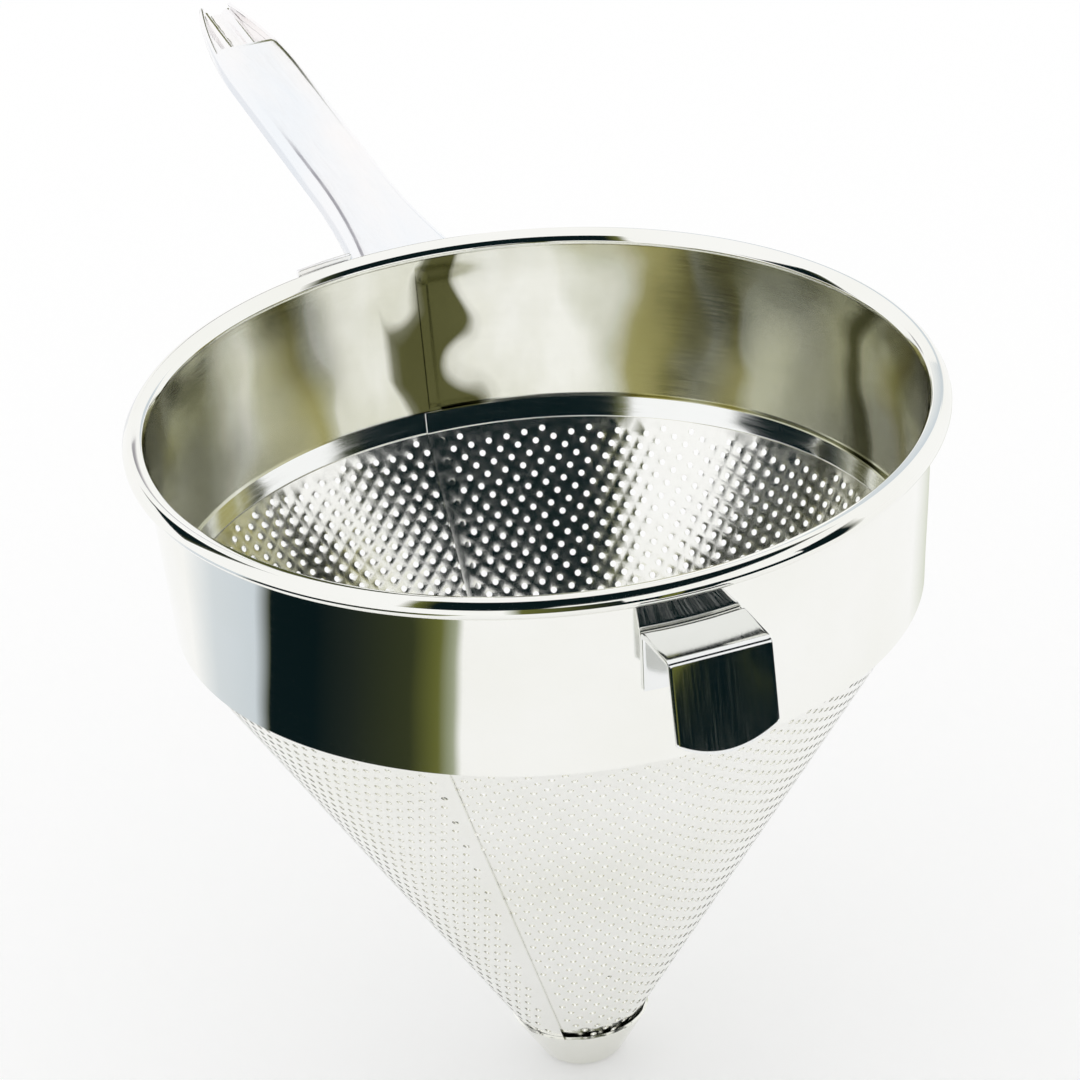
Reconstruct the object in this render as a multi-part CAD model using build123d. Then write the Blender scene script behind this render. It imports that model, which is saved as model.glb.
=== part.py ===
from build123d import *
import os
from math import asin, atan, atan2, cos, degrees, hypot, pi, radians, sin, sqrt

# A chinois: a pointed strainer of bright sheet steel. Lengths are millimetres.
# The Z axis is the axis of the cone, and the flat face of the tip lies at the origin.
# The handle points along +Y and the pot hook along -Y. Azimuths are degrees from +X.

# Overall form
rim_radius = 127.0
rim_height = 231.0
collar_depth = 61.2
collar_taper = 4.9
cone_tip_radius = 11.0

# Collar band and the wire in its rolled rim
collar_sheet = 0.8
collar_lap = 9.0
collar_seam_azimuth = 89.0
roll_width = 7.3
roll_step = 1.6
roll_mouth = 0.4
wire_diameter = 3.5
wire_play = 0.1

# Perforated cone, two panels lapped at two seams
cone_sheet = 0.8
cone_lap = 6.0
cone_lip = 7.4
cone_bend_radius = 1.6
rear_seam_azimuth = 90.0
front_seam_azimuth = 234.7

# Perforation: a staggered lattice, square with each panel's rear edge. One cut stands for a block of real holes,
# hole_block by hole_block of them, with the block's pitches and its open area.
hole_diameter = 2.1
hole_pitch_across = 6.0
hole_pitch_along = 7.0
hole_block = 6
plain_strip = 3.5

# Tip cap
cap_sheet = 0.9
cap_height = 16.0
cap_corner_radius = 2.6
cap_end_room = 1.0

# Pot hook
hook_azimuth = -88.4
hook_width = 32.5
hook_sheet = 1.8
hook_reach = 20.4
hook_shelf_drop = 14.6
hook_flange_drop = 20.0
hook_face_drop = 26.8
hook_splay = 2.7
hook_belly = 6.0
hook_bend_radius = 2.2

# Handle saddle
saddle_sheet = 1.2
saddle_width = 66.0
saddle_drop = 34.0
saddle_top_drop = 4.5
clasp_drop = 8.0
clasp_rise = 3.2
clasp_width = 20.0
clasp_room = 1.3
clasp_bend_radius = 2.0

# Handle
handle_offset = 2.1
handle_length = 204.0
handle_half_width = 13.1
handle_wall = 6.5
handle_sheet = 1.0
handle_shoulder_radius = 4.0
handle_pitch = 3.2
handle_top_drop = 1.0
root_flare = 4.6
root_flare_length = 60.0
nose_half_width = 6.0
nose_taper_length = 60.0
tray_length = 37.0
tray_wall_cut = 1.6
underplate_sheet = 1.0
rib_radius = 1.7
rib_spacing = 8.5

# Fits and tool overruns
sheet_fit = 0.05
overrun = 5.0


# Shared forms

def turned(section, start_azimuth=0.0, sweep=360.0):
    """Revolve a radial section (x outwards, y up) about the Z axis from one azimuth."""
    return Rot(0, 0, start_azimuth) * revolve(Plane.XZ * section, Axis.Z, sweep)


def bent_sheet(points, sheet, bend_radius):
    """Section of a sheet of even thickness along a bent centre line."""
    path = FilletPolyline(*points, radius=bend_radius) if len(points) > 2 else Polyline(*points)
    return trace(path, sheet)


def polygon(*points):
    """Flat face inside a closed run of straight edges."""
    return make_face(Polyline(*points, close=True))


# Heights and radii that the pieces share

foot_height = rim_height - collar_depth
collar_top_radius = rim_radius - roll_width + roll_step
collar_foot_radius = collar_top_radius - collar_taper
collar_slope = collar_taper / collar_depth
roll_height = wire_diameter + 2 * (wire_play + collar_sheet)
roll_centre = rim_radius - roll_width / 2


def collar_outside(height):
    """Radius of the collar's outer face at a height."""
    return collar_foot_radius + collar_slope * (height - foot_height)


def collar_inside(height):
    """Radius of the collar's inner face at a height."""
    return collar_outside(height) - collar_sheet


cone_mouth_radius = collar_inside(foot_height) - sheet_fit
cone_slope = (cone_mouth_radius - cone_tip_radius) / foot_height
cone_half_angle = atan(cone_slope)


def cone_radius(height, depth=0.0):
    """Radius of the surface that lies a depth under the outer face of the perforated cone."""
    return cone_tip_radius + cone_slope * height - depth / cos(cone_half_angle)


def lip_radius(height, depth=0.0):
    """Radius of the surface that lies a depth under the outer face of the cone's upright lip."""
    return collar_inside(height) - sheet_fit - depth


# Collar

def roll_outline(inset):
    """Flattened round outline of the rolled edge, drawn in by an inset."""
    return Pos(roll_centre, rim_height) * SlotOverall(roll_width - 2 * inset, roll_height - 2 * inset)


def make_collar_band():
    """Tapered band with its top edge rolled outwards, its two ends lapped at the seam."""
    wall = polygon(
        (collar_inside(foot_height), foot_height),
        (collar_outside(foot_height), foot_height),
        (collar_outside(rim_height), rim_height),
        (collar_inside(rim_height), rim_height),
    )
    mouth_height = rim_height - roll_height / 4
    mouth_radius = collar_outside(mouth_height)
    mouth = polygon(
        (mouth_radius, rim_height - roll_height),
        (mouth_radius + roll_mouth, rim_height - roll_height),
        (mouth_radius + roll_mouth, mouth_height),
        (mouth_radius, mouth_height),
    )
    band = turned(wall + roll_outline(0) - roll_outline(collar_sheet) - mouth)
    return band + make_collar_lap()


def make_collar_lap():
    """Inner end of the strip over the outer end, rising from the wall to one sheet thick at its cut edge."""
    lap_angle = asin(collar_lap / collar_inside(rim_height))
    shift = collar_sheet / sin(lap_angle)
    low_height = foot_height + cone_lip + cone_sheet
    top_height = rim_height - roll_height / 2
    block = turned(
        polygon(
            (collar_inside(low_height) - 2 * collar_sheet, low_height),
            (collar_inside(low_height), low_height),
            (collar_inside(top_height), top_height),
            (collar_inside(top_height) - 2 * collar_sheet, top_height),
        ),
        collar_seam_azimuth - degrees(lap_angle),
        degrees(lap_angle),
    )
    hollow = turned(
        polygon(
            (0, low_height),
            (hypot(collar_inside(low_height) - collar_sheet, shift), low_height),
            (hypot(collar_inside(top_height) - collar_sheet, shift), top_height),
            (0, top_height),
        )
    )
    seam = radians(collar_seam_azimuth)
    return block - Pos(shift * sin(seam), -shift * cos(seam), 0) * hollow


def make_rim_wire():
    """Round wire lying at the outer end of the hollow roll."""
    wire_centre = rim_radius - roll_height / 2
    return turned(Pos(wire_centre, rim_height) * Circle(wire_diameter / 2))


# Cone

cone_lap_angle = degrees(asin(cone_lap / cone_mouth_radius))


def cone_section(layer):
    """Section of a cone panel: layer 0 lies outside, layer 1 under it by one sheet and the fit."""
    depth = cone_sheet / 2 + layer * (cone_sheet + sheet_fit)
    end_height = cap_sheet + cap_end_room
    lip_top = foot_height + cone_lip
    bend_height = (lip_radius(0, depth) - cone_radius(0, depth)) / (cone_slope - collar_slope)
    points = (
        (cone_radius(end_height, depth), end_height),
        (lip_radius(bend_height, depth), bend_height),
        (lip_radius(lip_top, depth), lip_top),
    )
    return bent_sheet(points, cone_sheet, cone_bend_radius)


cut_width = hole_block * hole_diameter * sqrt(pi) / 2
cut_pitch_across = hole_block * hole_pitch_across
cut_pitch_along = hole_block * hole_pitch_along
plain_edge = cone_lap + plain_strip + cut_width / 2
cone_share = sin(cone_half_angle)


def cut_places(spread):
    """Staggered lattice on the flat sheet, as (distance from the cone's apex, flat angle from the rear edge).
    A place is kept where its cut leaves the plain strips along both edges, the foot of the collar and the cap."""
    far = cone_mouth_radius / cone_share - plain_strip - cut_width / 2
    near = cone_radius(cap_height) / cone_share + plain_strip + cut_width / 2
    turn = radians(spread) * cone_share
    places = []
    for row in range(-int(4 * far / cut_pitch_along), 1):
        stagger = row % 2 * cut_pitch_across / 2
        for column in range(int(far / cut_pitch_across) + 1):
            across = plain_edge + stagger + column * cut_pitch_across
            along = far + row * cut_pitch_along / 2
            distance = hypot(across, along)
            angle = atan2(across, along)
            if near <= distance <= far and distance * sin(min(turn - angle, pi / 2)) >= plain_edge:
                places.append((distance, angle))
    return places


def punches(edge_azimuth, sense, spread):
    """Square punches normal to the cone, one at each place of the lattice once the sheet is rolled up."""
    punch = Box(2 * overrun, cut_width, cut_width)
    lean = Rot(0, degrees(cone_half_angle), 0)
    return [
        Rot(0, 0, edge_azimuth + sense * degrees(angle / cone_share))
        * Pos(distance * cone_share, 0, (distance * cone_share - cone_tip_radius) / cone_slope)
        * lean
        * punch
        for distance, angle in cut_places(spread)
    ]


def make_cone_panel_narrow():
    """Smaller perforated panel, whose two straight edges lap over the wide one."""
    start = rear_seam_azimuth - cone_lap_angle
    spread = front_seam_azimuth - start
    return turned(cone_section(0), start, spread) - punches(start, 1, spread)


def make_cone_panel_wide():
    """Larger perforated panel, whose two straight edges run under the narrow one."""
    start = front_seam_azimuth - cone_lap_angle
    end = rear_seam_azimuth + 360
    return turned(cone_section(1), start, end - start) - punches(end, -1, end - start)


def make_tip_cap():
    """Small spun cap over the cut ends of both panels."""
    depth = -(sheet_fit + cap_sheet / 2)
    floor = cap_sheet / 2
    points = (
        (0, floor),
        (cone_radius(floor, depth), floor),
        (cone_radius(cap_height, depth), cap_height),
    )
    return turned(bent_sheet(points, cap_sheet, cap_corner_radius))


# Pot hook

def make_pot_hook():
    """Strap with a flange down the collar, a level shelf, and a splayed drop face with a rounded end."""
    shelf_top = rim_height - hook_shelf_drop
    shelf_centre = shelf_top - hook_sheet / 2
    wall = collar_outside(shelf_centre) + sheet_fit
    front = wall + hook_reach - hook_sheet / 2
    middle = (wall + front) / 2
    flange_end = shelf_top - hook_flange_drop
    seat = sheet_fit + hook_sheet / 2
    flange_section = bent_sheet(
        (
            (collar_outside(flange_end) + seat, flange_end),
            (collar_outside(shelf_centre) + seat, shelf_centre),
            (middle, shelf_centre),
        ),
        hook_sheet,
        hook_bend_radius,
    )
    face_end = shelf_top - hook_face_drop - hook_belly
    face_low = face_end - overrun
    lean = hook_splay / hook_face_drop * (shelf_centre - face_low)
    face_section = bent_sheet(
        ((middle - hook_sheet, shelf_centre), (front, shelf_centre), (front + lean, face_low)),
        hook_sheet,
        hook_bend_radius,
    )
    spread = 2 * degrees(asin(hook_width / (2 * collar_outside(foot_height))))
    flange = turned(flange_section, -spread, 2 * spread)
    face = extrude(Plane.XZ * face_section, hook_width / 2, both=True)
    return Rot(0, 0, hook_azimuth) * ((flange + face) & hook_outline(shelf_top, face_end))


def hook_outline(top, face_end):
    """Prism with the strap's straight sides and the bow of its lower end, across the radial direction."""
    half = hook_width / 2
    sides = Polyline((-half, face_end + hook_belly), (-half, top), (half, top), (half, face_end + hook_belly))
    bow = ThreePointArc((half, face_end + hook_belly), (0, face_end), (-half, face_end + hook_belly))
    outline = make_face(sides + bow)
    return extrude(Plane.YZ * outline, rim_radius + hook_reach)


# Handle

saddle_bottom = rim_height - saddle_drop
saddle_top = rim_height - saddle_top_drop


def make_handle_saddle():
    """Curved plate on the collar, with a clasp beside the handle that turns out under the rim and up beside it."""
    seat = sheet_fit + saddle_sheet / 2
    turn_height = rim_height - clasp_drop
    clasp_radius = rim_radius + seat
    low = (collar_outside(saddle_bottom) + seat, saddle_bottom)
    high = (collar_outside(saddle_top) + seat, saddle_top)
    turn = (collar_outside(turn_height) + seat, turn_height)
    elbow = (clasp_radius, rim_height - roll_height / 2)
    tip = (clasp_radius, rim_height + clasp_rise)
    middle = 90 - degrees(handle_offset / rim_radius)
    plate_spread = degrees(saddle_width / collar_outside(saddle_top))
    clasp_start = middle + degrees((handle_half_width + root_flare + clasp_room) / rim_radius)
    clasp_spread = degrees(clasp_width / rim_radius)
    plate_section = bent_sheet((low, high), saddle_sheet, clasp_bend_radius)
    clasp_section = bent_sheet((low, turn, elbow, tip), saddle_sheet, clasp_bend_radius)
    plate = turned(plate_section, middle - plate_spread / 2, plate_spread)
    return plate + turned(clasp_section, clasp_start, clasp_spread)


def handle_outline(inset, near, far):
    """Plan of the handle, drawn in by an inset: a flared root, straight sides and a nose of two long arcs."""
    half = handle_half_width - inset
    straight_start = root_flare_length
    straight_end = handle_length - nose_taper_length
    nose_drop = handle_half_width - nose_half_width
    nose_radius = (nose_taper_length**2 + nose_drop**2) / (2 * nose_drop) - inset
    flare_radius = (root_flare_length**2 + root_flare**2) / (2 * root_flare) + inset
    near_flare = half + flare_radius - sqrt(flare_radius**2 - (straight_start - near) ** 2)
    far_half = half - nose_radius + sqrt(nose_radius**2 - (far - straight_end) ** 2)
    edges = Curve()
    for side in (1, -1):
        flare = RadiusArc((side * near_flare, near), (side * half, straight_start), side * flare_radius)
        straight = Line((side * half, straight_start), (side * half, straight_end))
        nose = RadiusArc((side * half, straight_end), (side * far_half, far), -side * nose_radius)
        edges += [flare, straight, nose]
    edges += [Line((-near_flare, near), (near_flare, near)), Line((-far_half, far), (far_half, far))]
    return make_face(edges)


def handle_block(inset, drop, near, far):
    """Solid channel form under the handle's top, with both long shoulders rounded."""
    height = handle_wall - drop + (overrun if inset else 0)
    block = extrude(Pos(0, 0, -drop) * handle_outline(inset, near, far), -height)
    top_edges = block.faces().sort_by(Axis.Z)[-1].edges()
    shoulders = [edge for edge in top_edges if abs((edge @ 0).Y - (edge @ 1).Y) > handle_sheet]
    return fillet(shoulders, handle_shoulder_radius - inset)


def on_handle(shape):
    """Put a piece drawn along +Y from the rim on the handle's pitched place."""
    return Pos(handle_offset, rim_radius, rim_height - handle_top_drop) * Rot(handle_pitch, 0, 0) * shape


def saddle_space():
    """Everything inside the outer faces of the saddle's plate and the rolled rim, where the handle's root stops."""
    clear = saddle_sheet + 2 * sheet_fit
    edge = rim_radius + sheet_fit
    bottom = saddle_bottom - overrun
    section = polygon(
        (0, bottom),
        (collar_outside(bottom) + clear, bottom),
        (collar_outside(saddle_top) + clear, saddle_top + sheet_fit),
        (edge, rim_height - roll_height / 2 - sheet_fit),
        (edge, rim_height + overrun),
        (0, rim_height + overrun),
    )
    return turned(section)


def make_handle_shell():
    """Upper channel of the handle, its top sheet cut away over the tray at the far end."""
    outside = handle_block(0, 0, -overrun, handle_length)
    inside = handle_block(handle_sheet, handle_sheet, -2 * overrun, handle_length + overrun)
    window = Pos(0, handle_length, -tray_wall_cut / 2) * Box(
        4 * handle_half_width, 2 * tray_length, tray_wall_cut
    )
    return on_handle(outside - inside - window) - saddle_space()


def make_handle_underplate():
    """Plate between the side walls, with two long pressed ribs, closing the channel from below."""
    half = handle_half_width + root_flare
    middle = underplate_sheet / 2 - handle_wall
    plate_band = Pos(0, handle_length / 2, middle) * Box(2 * half, 2 * handle_length, underplate_sheet)
    for side in (1, -1):
        rib = Pos(side * rib_spacing / 2, 0, middle) * Rot(90, 0, 0) * rib_section()
        trough = Pos(side * rib_spacing / 2, 0, middle) * Rot(90, 0, 0) * trough_section()
        plate_band += Pos(0, handle_length + overrun, 0) * extrude(rib, 2 * handle_length)
        plate_band -= Pos(0, handle_length + overrun, 0) * extrude(trough, 2 * handle_length)
    outline = handle_outline(handle_sheet + sheet_fit, -overrun, handle_length)
    prism = extrude(Pos(0, 0, -2 * handle_wall) * outline, 2 * handle_wall)
    return on_handle(plate_band & prism) - saddle_space()


def rib_section():
    """Half round ridge over the plate's middle plane."""
    return Circle(rib_radius + underplate_sheet / 2) & Pos(0, rib_radius) * Rectangle(4 * rib_radius, 2 * rib_radius)


def trough_section():
    """Hollow side of the ridge, open below."""
    return Circle(rib_radius - underplate_sheet / 2)


pieces = {
    "collar_band": make_collar_band,
    "rim_wire": make_rim_wire,
    "cone_panel_wide": make_cone_panel_wide,
    "cone_panel_narrow": make_cone_panel_narrow,
    "tip_cap": make_tip_cap,
    "pot_hook": make_pot_hook,
    "handle_saddle": make_handle_saddle,
    "handle_shell": make_handle_shell,
    "handle_underplate": make_handle_underplate,
}

os.makedirs("parts", exist_ok=True)
for name, make in pieces.items():
    export_step(make(), f"parts/{name}.step")
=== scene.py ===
import math
import bmesh
import bpy
import numpy as np
from mathutils import Matrix, Vector
from mathutils.geometry import delaunay_2d_cdt


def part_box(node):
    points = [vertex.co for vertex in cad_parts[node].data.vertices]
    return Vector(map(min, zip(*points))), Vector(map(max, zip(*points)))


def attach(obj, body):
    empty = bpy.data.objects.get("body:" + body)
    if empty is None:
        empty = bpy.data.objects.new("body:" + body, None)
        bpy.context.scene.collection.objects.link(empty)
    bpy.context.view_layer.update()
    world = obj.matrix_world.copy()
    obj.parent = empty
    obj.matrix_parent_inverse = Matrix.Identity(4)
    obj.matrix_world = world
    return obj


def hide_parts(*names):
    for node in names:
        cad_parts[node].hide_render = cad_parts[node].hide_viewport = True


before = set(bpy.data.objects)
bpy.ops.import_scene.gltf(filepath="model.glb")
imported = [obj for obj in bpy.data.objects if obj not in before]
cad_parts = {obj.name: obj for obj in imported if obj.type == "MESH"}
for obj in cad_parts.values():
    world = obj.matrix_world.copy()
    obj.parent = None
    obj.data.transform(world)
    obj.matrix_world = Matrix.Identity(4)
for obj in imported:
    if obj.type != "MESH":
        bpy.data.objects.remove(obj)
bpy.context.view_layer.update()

# A chinois of bright sheet steel. Lengths are metres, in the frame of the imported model: Z is the axis of the
# cone, the tip stands at the origin, the handle points along +Y. Azimuths are degrees from +X.
MM = 0.001

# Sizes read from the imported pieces
collar_low, collar_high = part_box("collar_band")
wire_low, wire_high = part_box("rim_wire")
lip_low, lip_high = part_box("cone_panel_narrow")
cap_low, cap_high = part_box("tip_cap")
hook_low, hook_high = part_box("pot_hook")
saddle_low, saddle_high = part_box("handle_saddle")
rim_radius = collar_high[0]
rim_height = (wire_low[2] + wire_high[2]) / 2
foot_height = collar_low[2]
roll_height = 2 * (collar_high[2] - rim_height)
cap_height = cap_high[2]
lip_top = lip_high[2]
cone_end_height = lip_low[2]

# Sheets, fits and slopes
collar_sheet = 0.8 * MM
cone_sheet = 0.8 * MM
cap_sheet = 0.9 * MM
hook_sheet = 1.8 * MM
saddle_sheet = 1.2 * MM
handle_sheet = 1.0 * MM
underplate_sheet = 1.0 * MM
sheet_fit = 0.05 * MM
twin_distance = 0.001 * MM
cut_edge_turn = math.radians(50)
roll_width = 7.3 * MM
roll_step = 1.6 * MM
collar_taper = 4.9 * MM
cone_tip_radius = 11.0 * MM
collar_top_radius = rim_radius - roll_width + roll_step
collar_foot_radius = collar_top_radius - collar_taper
collar_slope = collar_taper / (rim_height - foot_height)
cone_mouth_radius = collar_foot_radius - collar_sheet - sheet_fit
cone_slope = (cone_mouth_radius - cone_tip_radius) / foot_height
cone_lean = math.atan(cone_slope)


def collar_outside(height):
    """Radius of the collar's outer face at a height."""
    return collar_foot_radius + collar_slope * (height - foot_height)


# Meshes

def shade(mesh, sharp_angle=35):
    """Smooth faces, with the edges that turn by more than an angle in degrees kept sharp."""
    mesh.shade_smooth()
    mesh.set_sharp_from_angle(angle=math.radians(sharp_angle))


def add_object(name, vertices, faces, material):
    """Make one object with a mesh and a material."""
    mesh = bpy.data.meshes.new(name)
    mesh.from_pydata(vertices, [], faces)
    mesh.validate()
    mesh.materials.append(material)
    item = bpy.data.objects.new(name, mesh)
    bpy.context.scene.collection.objects.link(item)
    return item


def add_piece(name, vertices, faces, nodes, material, sharp_angle=35):
    """Make one closed piece that rides on the body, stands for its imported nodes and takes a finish."""
    piece = add_object(name, vertices.tolist(), faces, material)
    shade(piece.data, sharp_angle)
    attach(piece, "root")
    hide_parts(*nodes)
    return piece


def grid_faces(rows, columns, closed=False):
    """Quads of a grid numbered row by row, its last column joined to the first when closed."""
    index = np.arange(rows * columns).reshape(rows, columns)
    if closed:
        index = np.hstack([index, index[:, :1]])
    return np.stack([index[:-1, :-1], index[:-1, 1:], index[1:, 1:], index[1:, :-1]], axis=-1).reshape(-1, 4)


def closed_sheet(front, back, faces):
    """Join a front and a back layer of the same faces with walls along every free edge.
    The back repeats the front's faces turned round, and a free edge is one that only one face uses."""
    count = len(front)
    starts = np.concatenate([face.ravel() for face in faces])
    ends = np.concatenate([np.roll(face, -1, axis=1).ravel() for face in faces])
    keys = np.minimum(starts, ends) * count + np.maximum(starts, ends)
    _, first, uses = np.unique(keys, return_index=True, return_counts=True)
    free = first[uses == 1]
    walls = np.stack([ends[free], starts[free], starts[free] + count, ends[free] + count], axis=1)
    layers = faces + [face[:, ::-1] + count for face in faces] + [walls]
    used, packed = np.unique(np.concatenate([layer.ravel() for layer in layers]), return_inverse=True)
    splits = np.cumsum([layer.size for layer in layers])[:-1]
    parts = [part.reshape(-1, layer.shape[1]).tolist() for part, layer in zip(np.split(packed, splits), layers)]
    return np.vstack([front, back])[used], sum(parts, [])


def merge_twins(piece):
    """Join vertices that lie in one place, at a pole or where a ring comes round to its start."""
    shape = bmesh.new()
    shape.from_mesh(piece.data)
    bmesh.ops.remove_doubles(shape, verts=shape.verts, dist=twin_distance)
    shape.to_mesh(piece.data)
    shape.free()
    shade(piece.data)


def second_finish(piece, material, chosen):
    """Give another finish to the faces that a test on their centres, a function of (x, y, z) arrays, chooses."""
    centres = np.zeros(3 * len(piece.data.polygons))
    piece.data.polygons.foreach_get("center", centres)
    piece.data.materials.append(material)
    piece.data.polygons.foreach_set("material_index", chosen(*centres.reshape(-1, 3).T).astype(np.int32))


def soften_edges(piece, width):
    """Round the cut edges with a small bevel and keep the result as the piece's own mesh."""
    bevel = piece.modifiers.new("edges", "BEVEL")
    bevel.width = width
    bevel.segments = 2
    bevel.limit_method = "ANGLE"
    bevel.angle_limit = cut_edge_turn
    graph = bpy.context.evaluated_depsgraph_get()
    baked = bpy.data.meshes.new_from_object(piece.evaluated_get(graph))
    piece.modifiers.clear()
    piece.data = baked
    shade(baked)


def bent_line(points, radius, steps=7):
    """Centre line through corners (x, y), each rounded by a circle arc of one radius, with the unit normals on its
    right side. An arc starts radius * tan(half the turn) before its corner."""
    points = np.array(points, float)
    legs = np.diff(points, axis=0)
    headings = np.arctan2(legs[:, 1], legs[:, 0])
    places, turns = [points[0]], [headings[0]]
    for corner, before, after in zip(points[1:-1], headings[:-1], headings[1:]):
        turn = (after - before + math.pi) % (2 * math.pi) - math.pi
        side = math.copysign(1.0, turn)
        start = corner - radius * math.tan(abs(turn) / 2) * np.array([math.cos(before), math.sin(before)])
        middle = start + side * radius * np.array([-math.sin(before), math.cos(before)])
        angles = before + turn * np.linspace(0, 1, steps)
        places += list(middle + side * radius * np.stack([np.sin(angles), -np.cos(angles)], axis=1))
        turns += list(angles)
    places.append(points[-1])
    turns.append(headings[-1])
    turns = np.array(turns)
    return np.array(places), np.stack([np.sin(turns), -np.cos(turns)], axis=1)


def refine(places, normals, step):
    """Put more points on the long straight stretches of a line, none further apart than a step."""
    spans = np.linalg.norm(np.diff(places, axis=0), axis=1)
    pieces = np.maximum(1, np.ceil(spans / step)).astype(int)
    leg = np.repeat(np.arange(len(spans)), pieces)
    part = (np.arange(len(leg)) - np.repeat(np.cumsum(pieces) - pieces, pieces)) / pieces[leg]
    blend = part[:, None]
    fine = places[leg] * (1 - blend) + places[leg + 1] * blend
    fine_normals = normals[leg] * (1 - blend) + normals[leg + 1] * blend
    fine_normals /= np.linalg.norm(fine_normals, axis=1)[:, None]
    return np.vstack([fine, places[-1]]), np.vstack([fine_normals, normals[-1]])


def around(radius, height, azimuth):
    """Points at a radius, height and azimuth in degrees about the Z axis."""
    turn = np.radians(azimuth)
    radius, height, turn = np.broadcast_arrays(radius, height, turn)
    return np.stack([radius * np.cos(turn), radius * np.sin(turn), height], axis=-1)


def soft_step(value, low, high):
    """0 below low, 1 above high, and a smooth cubic between."""
    part = np.clip((value - low) / (high - low), 0, 1)
    return part * part * (3 - 2 * part)


ripple_lobes = (5, 23)
ripple_pitches = (0.03, 0.09)


def ripples(azimuth, height, waves, seed):
    """Shallow dents: a sum of cosine waves round the axis, each with its own height wave and phase.
    One wave is cos(n * azimuth + phase) * cos(k * height + phase), scaled to a sum of about one."""
    chance = np.random.default_rng(seed)
    total = 0.0
    for _ in range(waves):
        lobes = int(chance.integers(*ripple_lobes))
        pitch = chance.uniform(*ripple_pitches)
        round_phase, up_phase = chance.uniform(0, 2 * math.pi, 2)
        round_wave = np.cos(lobes * np.radians(azimuth) + round_phase)
        total = total + round_wave * np.cos(2 * math.pi * height / pitch + up_phase)
    return total / math.sqrt(waves)


# Materials

cloud_range = (0.35, 0.72)
scratch_scale = 60.0
scratch_strength = 0.25
scratch_depth = 0.004 * MM
swell_scale = 26.0
wander_scale = 22.0
# Degrees by which the edges of the painted reflection bands wander
reflection_band_sway = 7.0


def tree_of(name):
    """A new node material, with its nodes and its links."""
    material = bpy.data.materials.new(name)
    material.use_nodes = True
    return material, material.node_tree.nodes, material.node_tree.links


def math_on(nodes, links, operation, *values):
    """Math node on sockets and plain numbers."""
    node = nodes.new("ShaderNodeMath")
    node.operation = operation
    for socket, value in zip(node.inputs, values):
        if isinstance(value, float):
            socket.default_value = value
        else:
            links.new(value, socket)
    return node.outputs[0]


def place_parts(nodes, links, kind="Object"):
    """The X, Y and Z sockets of one kind of coordinates."""
    place = nodes.new("ShaderNodeTexCoord")
    parts = nodes.new("ShaderNodeSeparateXYZ")
    links.new(place.outputs[kind], parts.inputs[0])
    return parts.outputs


def noise_on(nodes, links, scale, stretch=(1, 1, 1), detail=3.0):
    """Noise on Object coordinates, stretched along the axes."""
    place = nodes.new("ShaderNodeTexCoord")
    mapping = nodes.new("ShaderNodeMapping")
    mapping.inputs["Scale"].default_value = stretch
    noise = nodes.new("ShaderNodeTexNoise")
    noise.inputs["Scale"].default_value = scale
    noise.inputs["Detail"].default_value = detail
    links.new(place.outputs["Object"], mapping.inputs["Vector"])
    links.new(mapping.outputs["Vector"], noise.inputs["Vector"])
    return noise.outputs["Fac"]


def ramp_on(nodes, links, value, stops):
    """Colour ramp over a value, with stops (place, colour)."""
    ramp = nodes.new("ShaderNodeValToRGB")
    stop = ramp.color_ramp.elements
    for place, _ in stops[2:]:
        stop.new(place)
    for element, (place, colour) in zip(stop, sorted(stops)):
        element.position = place
        element.color = (*colour, 1)
    links.new(value, ramp.inputs["Fac"])
    return ramp.outputs["Color"]


def range_on(nodes, links, value, low, high, bottom=0.3, top=0.7):
    """Spread a value between bottom and top over the range from low to high."""
    spread = nodes.new("ShaderNodeMapRange")
    for socket, number in (("From Min", bottom), ("From Max", top), ("To Min", low), ("To Max", high)):
        spread.inputs[socket].default_value = number
    links.new(value, spread.inputs["Value"])
    return spread.outputs["Result"]


def bump_on(nodes, links, value, strength, depth, under=None):
    """Bump from a value, over an earlier bump."""
    bump = nodes.new("ShaderNodeBump")
    bump.inputs["Strength"].default_value = strength
    bump.inputs["Distance"].default_value = depth
    links.new(value, bump.inputs["Height"])
    if under:
        links.new(under, bump.inputs["Normal"])
    return bump.outputs["Normal"]


def painted_reflection_round(nodes, links, stops):
    """Painted reflections by azimuth from -180 to 180 degrees: light and dark bands that stand in for reflections,
    swayed by slow noise so that their edges wander down the wall.
    """
    parts = place_parts(nodes, links)
    turn = math_on(nodes, links, "ARCTAN2", parts["Y"], parts["X"])
    share = range_on(nodes, links, turn, 0, 1, -math.pi, math.pi)
    wander = noise_on(nodes, links, wander_scale, detail=1.5)
    sway = range_on(nodes, links, wander, -reflection_band_sway / 360, reflection_band_sway / 360)
    swayed = math_on(nodes, links, "ADD", share, sway)
    return ramp_on(nodes, links, swayed, [((azimuth + 180) / 360, tone) for azimuth, tone in stops])


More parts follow.
